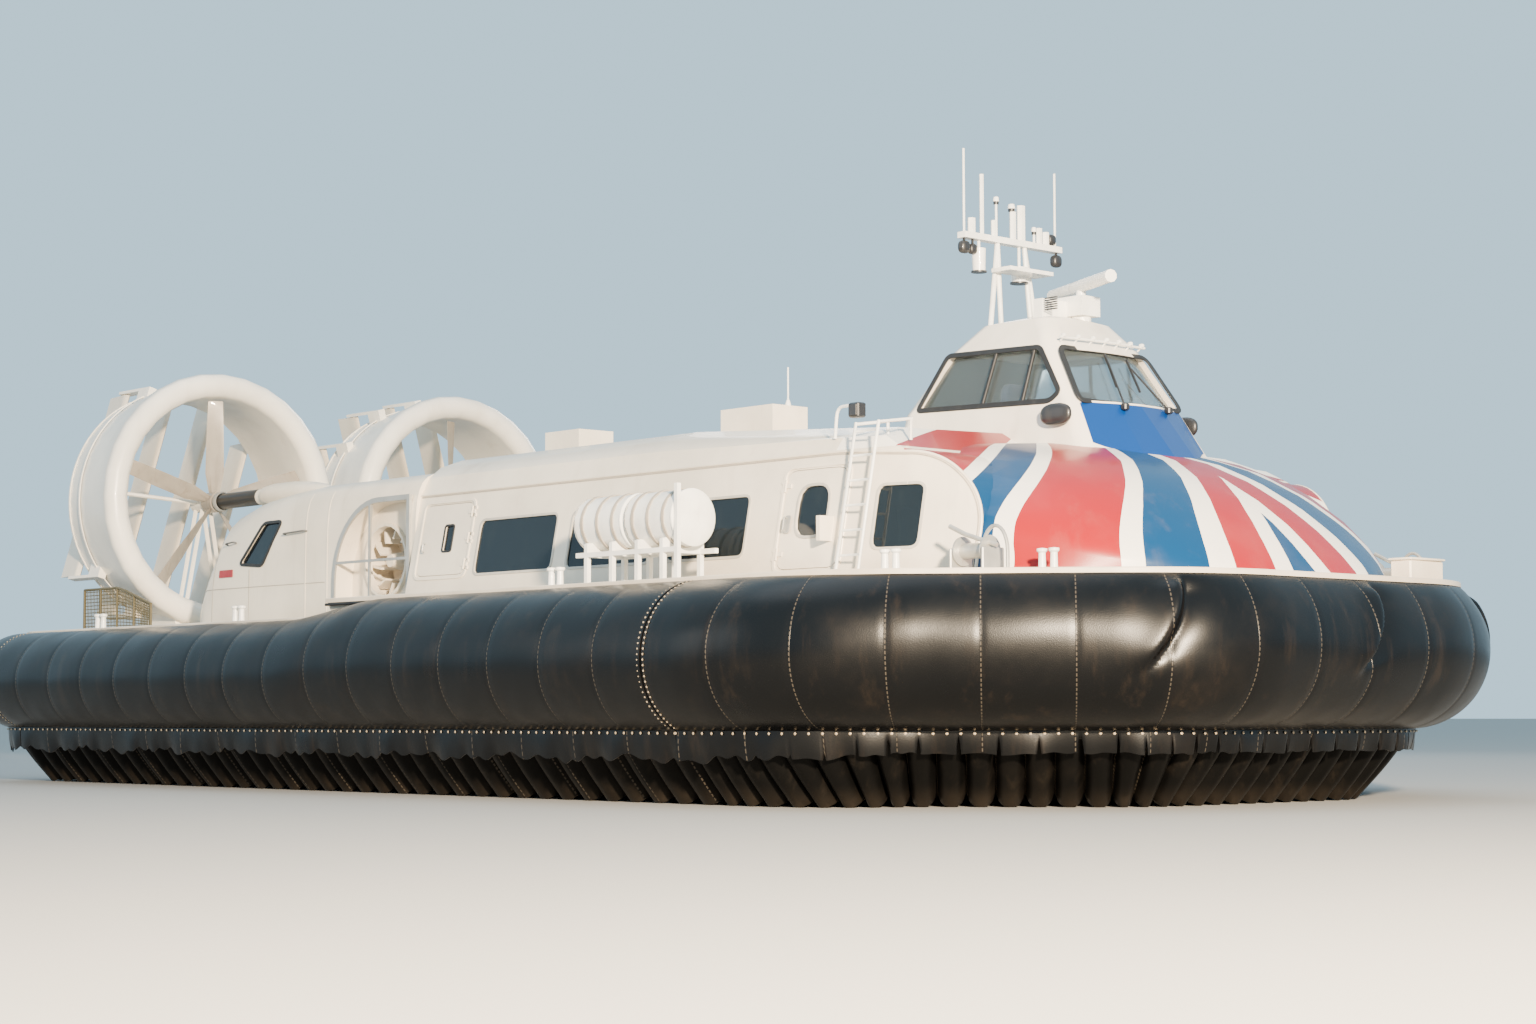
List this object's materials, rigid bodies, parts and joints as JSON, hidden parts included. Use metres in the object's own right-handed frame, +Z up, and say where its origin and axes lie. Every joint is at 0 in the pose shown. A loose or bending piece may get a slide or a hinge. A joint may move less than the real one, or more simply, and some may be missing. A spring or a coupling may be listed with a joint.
{
  "type": "hovercraft",
  "caption": "Passenger hovercraft with an inflated bag and finger skirt, cabin, raised wheelhouse and ducted rear propellers with rudder vanes.",
  "frame": {"origin": "on the floor under the middle of the craft, where the finger tips rest", "axes": "+X to the bow, +Y to port, +Z up"},
  "size_m": [24.2328, 12.7096, 8.5],
  "materials": {
    "hull": "satin",
    "rubber": "matt, slightly wet",
    "finger": "matt",
    "cabin": "gloss",
    "nose": "gloss",
    "seats": "woven",
    "glass": "tinted",
    "pod": "satin",
    "steel": "dull",
    "machine": "satin",
    "blade": "satin",
    "black": "satin",
    "mast": "gloss"
  },
  "bodies": {
    "craft": {"hull": "hull", "landing_pad_fore_starboard": "rubber", "landing_pad_fore_port": "rubber", "landing_pad_aft_starboard": "rubber", "landing_pad_aft_port": "rubber", "skirt_bag_bow": "rubber", "skirt_bag_starboard": "rubber", "skirt_bag_port": "rubber", "skirt_bag_stern": "rubber", "skirt_fingers_bow": "finger", "skirt_fingers_starboard": "finger", "skirt_fingers_port": "finger", "skirt_fingers_stern": "finger", "cabin_side_starboard": "cabin", "cabin_side_port": "cabin", "cabin_roof": "cabin", "cabin_aft_wall": "cabin", "nose_shell": "nose", "wheelhouse": "cabin", "wheelhouse_glass": "glass", "cabin_glass_starboard": "glass", "cabin_glass_port": "glass", "cabin_floor_seats": "seats", "helm": "seats", "machinery_pod_starboard": "pod", "machinery_pod_port": "pod", "intake_guard_starboard": "steel", "intake_guard_port": "steel", "engine_starboard": "machine", "engine_port": "machine", "duct_starboard": "pod", "duct_port": "pod", "shaft_casing_starboard": "black", "shaft_casing_port": "black", "mast": "mast", "radar_pedestal": "mast", "liferaft_rack_starboard": "mast", "liferaft_rack_port": "mast", "ladder_starboard": "mast"},
    "door_starboard": {"cabin_door_starboard": "cabin"},
    "door_port": {"cabin_door_port": "cabin"},
    "hatch_starboard": {"service_hatch_starboard": "cabin"},
    "hatch_port": {"service_hatch_port": "cabin"},
    "fan_starboard": {"lift_fan_starboard": "steel"},
    "fan_port": {"lift_fan_port": "steel"},
    "prop_starboard": {"propeller_starboard": "blade"},
    "prop_port": {"propeller_port": "blade"},
    "vane_1_starboard": {"rudder_1_starboard": "pod"},
    "vane_2_starboard": {"rudder_2_starboard": "pod"},
    "vane_3_starboard": {"rudder_3_starboard": "pod"},
    "vane_4_starboard": {"rudder_4_starboard": "pod"},
    "vane_1_port": {"rudder_1_port": "pod"},
    "vane_2_port": {"rudder_2_port": "pod"},
    "vane_3_port": {"rudder_3_port": "pod"},
    "vane_4_port": {"rudder_4_port": "pod"},
    "scanner": {"radar_scanner": "mast"}
  },
  "joints": [
    {"name": "door_starboard_hinge", "type": "hinge", "parent": "craft", "child": "door_starboard", "pos_m": [6.315, -4.06952, 3.47941], "axis": [0, -0.19, -0.9818], "range_deg": [0, 95]},
    {"name": "door_port_hinge", "type": "hinge", "parent": "craft", "child": "door_port", "pos_m": [6.315, 4.06952, 3.47941], "axis": [0, -0.19, 0.9818], "range_deg": [0, 95]},
    {"name": "hatch_starboard_hinge", "type": "hinge", "parent": "craft", "child": "hatch_starboard", "pos_m": [-0.233, -4.06952, 3.47941], "axis": [0, 0.19, 0.9818], "range_deg": [0, 100]},
    {"name": "hatch_port_hinge", "type": "hinge", "parent": "craft", "child": "hatch_port", "pos_m": [-0.233, 4.06952, 3.47941], "axis": [0, 0.19, -0.9818], "range_deg": [0, 100]},
    {"name": "fan_starboard_spin", "type": "hinge", "parent": "craft", "child": "fan_starboard", "pos_m": [-2.709, -3.653, 3.36], "axis": [0, 1, 0], "continuous": true},
    {"name": "fan_port_spin", "type": "hinge", "parent": "craft", "child": "fan_port", "pos_m": [-2.709, 3.653, 3.36], "axis": [0, 1, 0], "continuous": true},
    {"name": "prop_starboard_spin", "type": "hinge", "parent": "craft", "child": "prop_starboard", "pos_m": [-9.839, -2.463, 4.715], "axis": [1, 0, 0], "continuous": true},
    {"name": "prop_port_spin", "type": "hinge", "parent": "craft", "child": "prop_port", "pos_m": [-9.839, 2.463, 4.715], "axis": [1, 0, 0], "continuous": true},
    {"name": "scanner_spin", "type": "hinge", "parent": "craft", "child": "scanner", "pos_m": [7.421, 0.25, 6.52], "axis": [0, 0, 1], "continuous": true},
    {"name": "vane_1_starboard_turn", "type": "hinge", "parent": "craft", "child": "vane_1_starboard", "pos_m": [-11.645, -3.66945, 5.05185], "axis": [0, 0.2689, 0.9632], "range_deg": [-30, 30]},
    {"name": "vane_2_starboard_turn", "type": "hinge", "parent": "craft", "child": "vane_2_starboard", "pos_m": [-11.645, -2.86515, 4.82728], "axis": [0, 0.2689, 0.9632], "range_deg": [-30, 30]},
    {"name": "vane_3_starboard_turn", "type": "hinge", "parent": "craft", "child": "vane_3_starboard", "pos_m": [-11.645, -2.06085, 4.60272], "axis": [0, 0.2689, 0.9632], "range_deg": [-30, 30]},
    {"name": "vane_4_starboard_turn", "type": "hinge", "parent": "craft", "child": "vane_4_starboard", "pos_m": [-11.645, -1.25655, 4.37815], "axis": [0, 0.2689, 0.9632], "range_deg": [-30, 30]},
    {"name": "vane_1_port_turn", "type": "hinge", "parent": "craft", "child": "vane_1_port", "pos_m": [-11.645, 3.66945, 5.05185], "axis": [0, -0.2689, 0.9632], "range_deg": [-30, 30]},
    {"name": "vane_2_port_turn", "type": "hinge", "parent": "craft", "child": "vane_2_port", "pos_m": [-11.645, 2.86515, 4.82728], "axis": [0, -0.2689, 0.9632], "range_deg": [-30, 30]},
    {"name": "vane_3_port_turn", "type": "hinge", "parent": "craft", "child": "vane_3_port", "pos_m": [-11.645, 2.06085, 4.60272], "axis": [0, -0.2689, 0.9632], "range_deg": [-30, 30]},
    {"name": "vane_4_port_turn", "type": "hinge", "parent": "craft", "child": "vane_4_port", "pos_m": [-11.645, 1.25655, 4.37815], "axis": [0, -0.2689, 0.9632], "range_deg": [-30, 30]}
  ],
  "couplings": [
    {"joint": "vane_1_starboard_turn", "follows": "vane_2_starboard_turn", "ratio": 1},
    {"joint": "vane_3_starboard_turn", "follows": "vane_2_starboard_turn", "ratio": 1},
    {"joint": "vane_4_starboard_turn", "follows": "vane_2_starboard_turn", "ratio": 1},
    {"joint": "vane_1_port_turn", "follows": "vane_2_port_turn", "ratio": 1},
    {"joint": "vane_3_port_turn", "follows": "vane_2_port_turn", "ratio": 1},
    {"joint": "vane_4_port_turn", "follows": "vane_2_port_turn", "ratio": 1}
  ]
}
